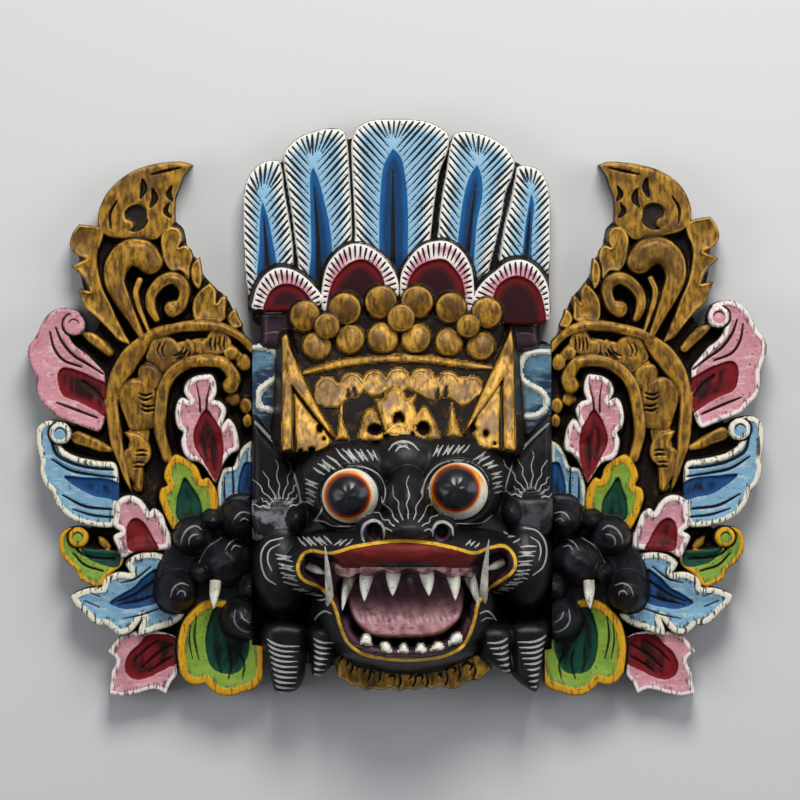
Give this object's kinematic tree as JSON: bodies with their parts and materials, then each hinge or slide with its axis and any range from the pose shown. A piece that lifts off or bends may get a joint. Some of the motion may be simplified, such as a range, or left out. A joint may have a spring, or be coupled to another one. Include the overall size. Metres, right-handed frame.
{
  "type": "barong mask",
  "caption": "Carved and painted wooden wall mask of a fanged mythical beast, with a feather crown on the centre block and a wing of leaves and curls on each side.",
  "frame": {"origin": "in the plane of the flat back, under the middle of the whole mask's bounding box", "axes": "+Z out of the face, +Y towards the crown, +X to the right of a viewer who looks at the face"},
  "size_m": [0.4978, 0.3886, 0.126],
  "materials": {
    "painted_wood": "hand painted, black satin lacquer with light strokes, light blue and red crown",
    "gilt_wood": "antique gold paint worn to dark brown, leaves in pink, light blue and green with pale rims",
    "ivory_paint": "ivory white paint, satin, smudged"
  },
  "bodies": {
    "root": {"face_and_crown": "painted_wood", "wing_left": "gilt_wood", "wing_right": "gilt_wood", "fang_upper_left_outer": "ivory_paint", "fang_upper_left_inner": "ivory_paint", "fang_upper_right_inner": "ivory_paint", "fang_upper_right_outer": "ivory_paint", "tusk_hanging_left": "ivory_paint", "tusk_hanging_right": "ivory_paint", "tusk_rising_left": "ivory_paint", "tusk_rising_right": "ivory_paint", "cheek_peg_left": "ivory_paint", "cheek_peg_right": "ivory_paint", "wing_fang_left": "ivory_paint", "wing_fang_right": "ivory_paint"}
  },
  "joints": []
}
